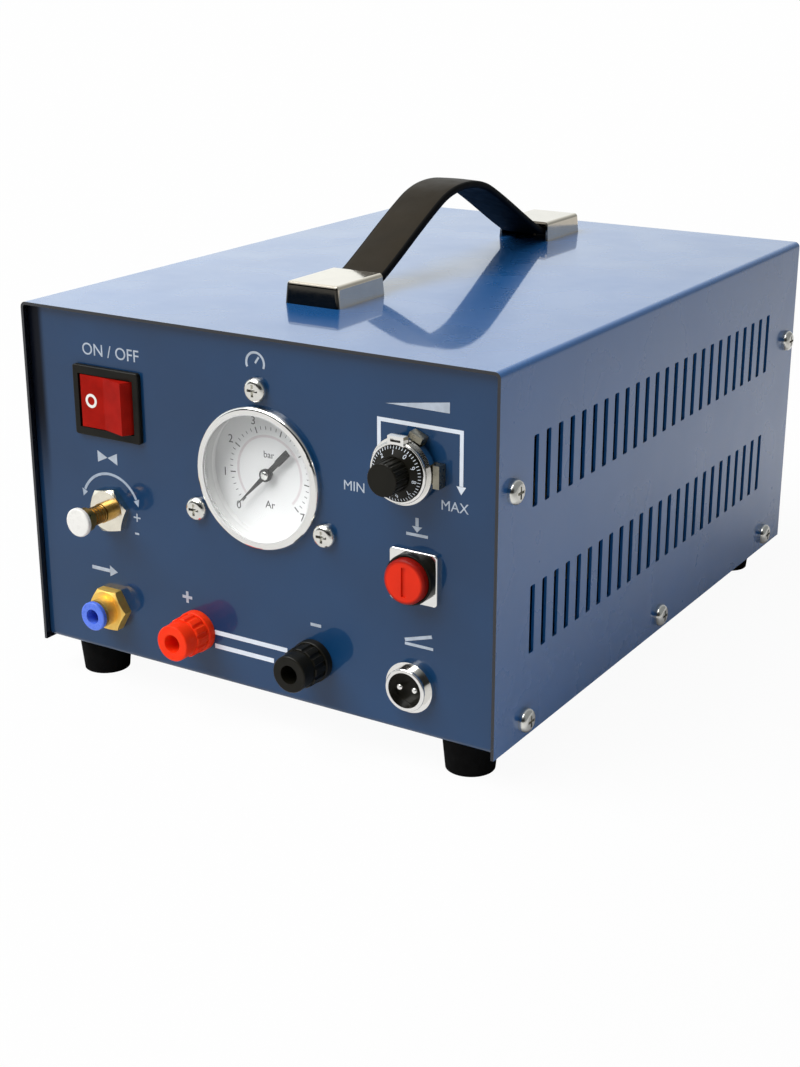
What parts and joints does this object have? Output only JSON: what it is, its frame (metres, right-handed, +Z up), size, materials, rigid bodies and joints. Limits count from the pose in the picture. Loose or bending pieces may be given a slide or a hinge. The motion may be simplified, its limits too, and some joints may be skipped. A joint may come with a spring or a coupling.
{
  "type": "pulse-arc spot welder",
  "caption": "Bench spot welder in a folded blue case with a strap handle, gas gauge, argon valve and outlet, current dial, output posts, foot-switch socket and rear fan.",
  "frame": {"origin": "on the ground under the middle of the case", "axes": "+Z up, the front panel faces -Y, +X is the user's right"},
  "size_m": [0.2224, 0.3212, 0.1943],
  "materials": {
    "front_paint": "satin slate-blue paint",
    "cover_paint": "gloss blue paint",
    "chrome": "bright plating",
    "zinc_steel": "zinc-plated steel",
    "brass": "plain brass",
    "rubber": "matte black rubber",
    "strap": "satin brown-black strap",
    "black_plastic": "satin black plastic",
    "red_plastic": "gloss red plastic",
    "rocker_red": "clear red plastic",
    "white_plastic": "gloss white plastic",
    "blue_plastic": "gloss blue plastic",
    "gauge_black": "black paint",
    "dial_white": "matte white paint",
    "lens": "clear",
    "hose": "milky plastic tube",
    "core_steel": "varnished lamination edges",
    "winding": "yellow insulating tape",
    "board": "green solder mask",
    "can": "dark blue sleeve"
  },
  "bodies": {
    "case": {"chassis": "front_paint", "top_cover": "cover_paint", "cover_screws": "chrome", "foot_front_left": "rubber", "foot_front_right": "rubber", "foot_rear_left": "rubber", "foot_rear_right": "rubber", "foot_screws": "zinc_steel", "handle_strap": "strap", "handle_cap_front": "chrome", "handle_cap_rear": "chrome", "switch_housing": "black_plastic", "switch_terminals": "brass", "gauge_case": "zinc_steel", "gauge_ring": "chrome", "gauge_lens": "lens", "gauge_dial": "dial_white", "gauge_movement": "brass", "gauge_stem": "brass", "gauge_screws": "chrome", "pot_body": "zinc_steel", "dial_base": "chrome", "button_bezel": "chrome", "button_body": "black_plastic", "socket_shell": "chrome", "socket_insert": "black_plastic", "socket_pins": "chrome", "valve_body": "brass", "valve_nut": "brass", "outlet_body": "brass", "red_post_base": "red_plastic", "black_post_base": "black_plastic", "post_studs": "brass", "panel_nuts": "zinc_steel", "fan_frame": "black_plastic", "fan_guard": "chrome", "power_inlet": "black_plastic", "inlet_pins": "brass", "gas_inlet": "brass", "solenoid_valve": "black_plastic", "gas_hoses": "hose", "transformer_core": "core_steel", "transformer_coil": "winding", "control_board": "board", "board_standoffs": "brass", "capacitors": "can", "inner_screws": "zinc_steel", "rear_screws": "zinc_steel"},
    "rocker": {"switch_rocker": "rocker_red"},
    "needle": {"gauge_pointer": "gauge_black"},
    "current_control": {"current_shaft": "zinc_steel", "current_knob": "black_plastic"},
    "lock_lever": {"dial_lock": "chrome"},
    "push_button": {"button_cap": "red_plastic"},
    "valve_control": {"valve_spindle": "brass", "valve_cap": "white_plastic"},
    "collet": {"outlet_collet": "blue_plastic"},
    "red_knob": {"red_post_knob": "red_plastic"},
    "black_knob": {"black_post_knob": "black_plastic"},
    "fan": {"fan_rotor": "black_plastic"}
  },
  "joints": [
    {"name": "power_rocker", "type": "hinge", "parent": "case", "child": "rocker", "pos_m": [-0.067, -0.1385, 0.1217], "axis": [0, 0, 1], "range_deg": [0, 16]},
    {"name": "gauge_needle", "type": "hinge", "parent": "case", "child": "needle", "pos_m": [0.005, -0.1415, 0.1032], "axis": [0, 1, 0], "range_deg": [0, 270], "stiffness_Nm_per_rad": 0.0003},
    {"name": "current_turn", "type": "hinge", "parent": "case", "child": "current_control", "pos_m": [0.07, -0.1415, 0.1179], "axis": [0, 1, 0], "range_deg": [0, 3600]},
    {"name": "dial_lock_turn", "type": "hinge", "parent": "case", "child": "lock_lever", "pos_m": [0.07, -0.1415, 0.1179], "axis": [0, 1, 0], "range_deg": [0, 25]},
    {"name": "button_press", "type": "slide", "parent": "case", "child": "push_button", "axis": [0, 1, 0], "range_m": [0, 0.0022], "stiffness_N_per_m": 600, "springref_m": -0.002},
    {"name": "valve_turn", "type": "hinge", "parent": "case", "child": "valve_control", "pos_m": [-0.069, -0.1415, 0.0777], "axis": [0, 1, 0], "range_deg": [0, 270]},
    {"name": "collet_press", "type": "slide", "parent": "case", "child": "collet", "axis": [0, 1, 0], "range_m": [0, 0.0012]},
    {"name": "red_post_turn", "type": "hinge", "parent": "case", "child": "red_knob", "pos_m": [-0.0272, -0.1415, 0.0346], "axis": [0, 1, 0], "range_deg": [0, 360]},
    {"name": "black_post_turn", "type": "hinge", "parent": "case", "child": "black_knob", "pos_m": [0.0283, -0.1415, 0.0346], "axis": [0, 1, 0], "range_deg": [0, 360]},
    {"name": "fan_spin", "type": "hinge", "parent": "case", "child": "fan", "pos_m": [-0.045, 0.1415, 0.098], "axis": [0, 1, 0], "continuous": true}
  ]
}
